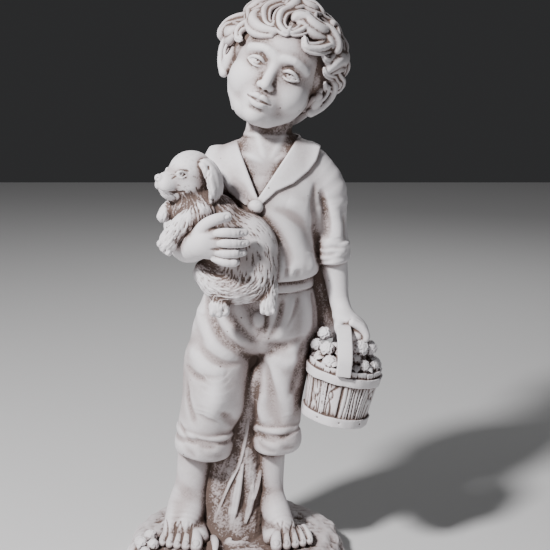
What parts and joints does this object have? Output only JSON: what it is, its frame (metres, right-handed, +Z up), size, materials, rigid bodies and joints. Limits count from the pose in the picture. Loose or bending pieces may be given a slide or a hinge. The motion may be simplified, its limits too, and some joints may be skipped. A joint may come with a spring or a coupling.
{
  "type": "boy with dog statue",
  "caption": "Cast stone garden statue of a standing child holding a puppy and a basket of roses, on a low round rocky mound.",
  "frame": {"origin": "middle of the round mound's flat underside, on the ground", "axes": "+Z up, the figure faces -Y and holds the basket towards +X"},
  "size_m": [0.361, 0.3135, 0.8124],
  "materials": {
    "cast_stone": null
  },
  "bodies": {
    "root": {"boy_with_dog_statue": "cast_stone"}
  },
  "joints": []
}
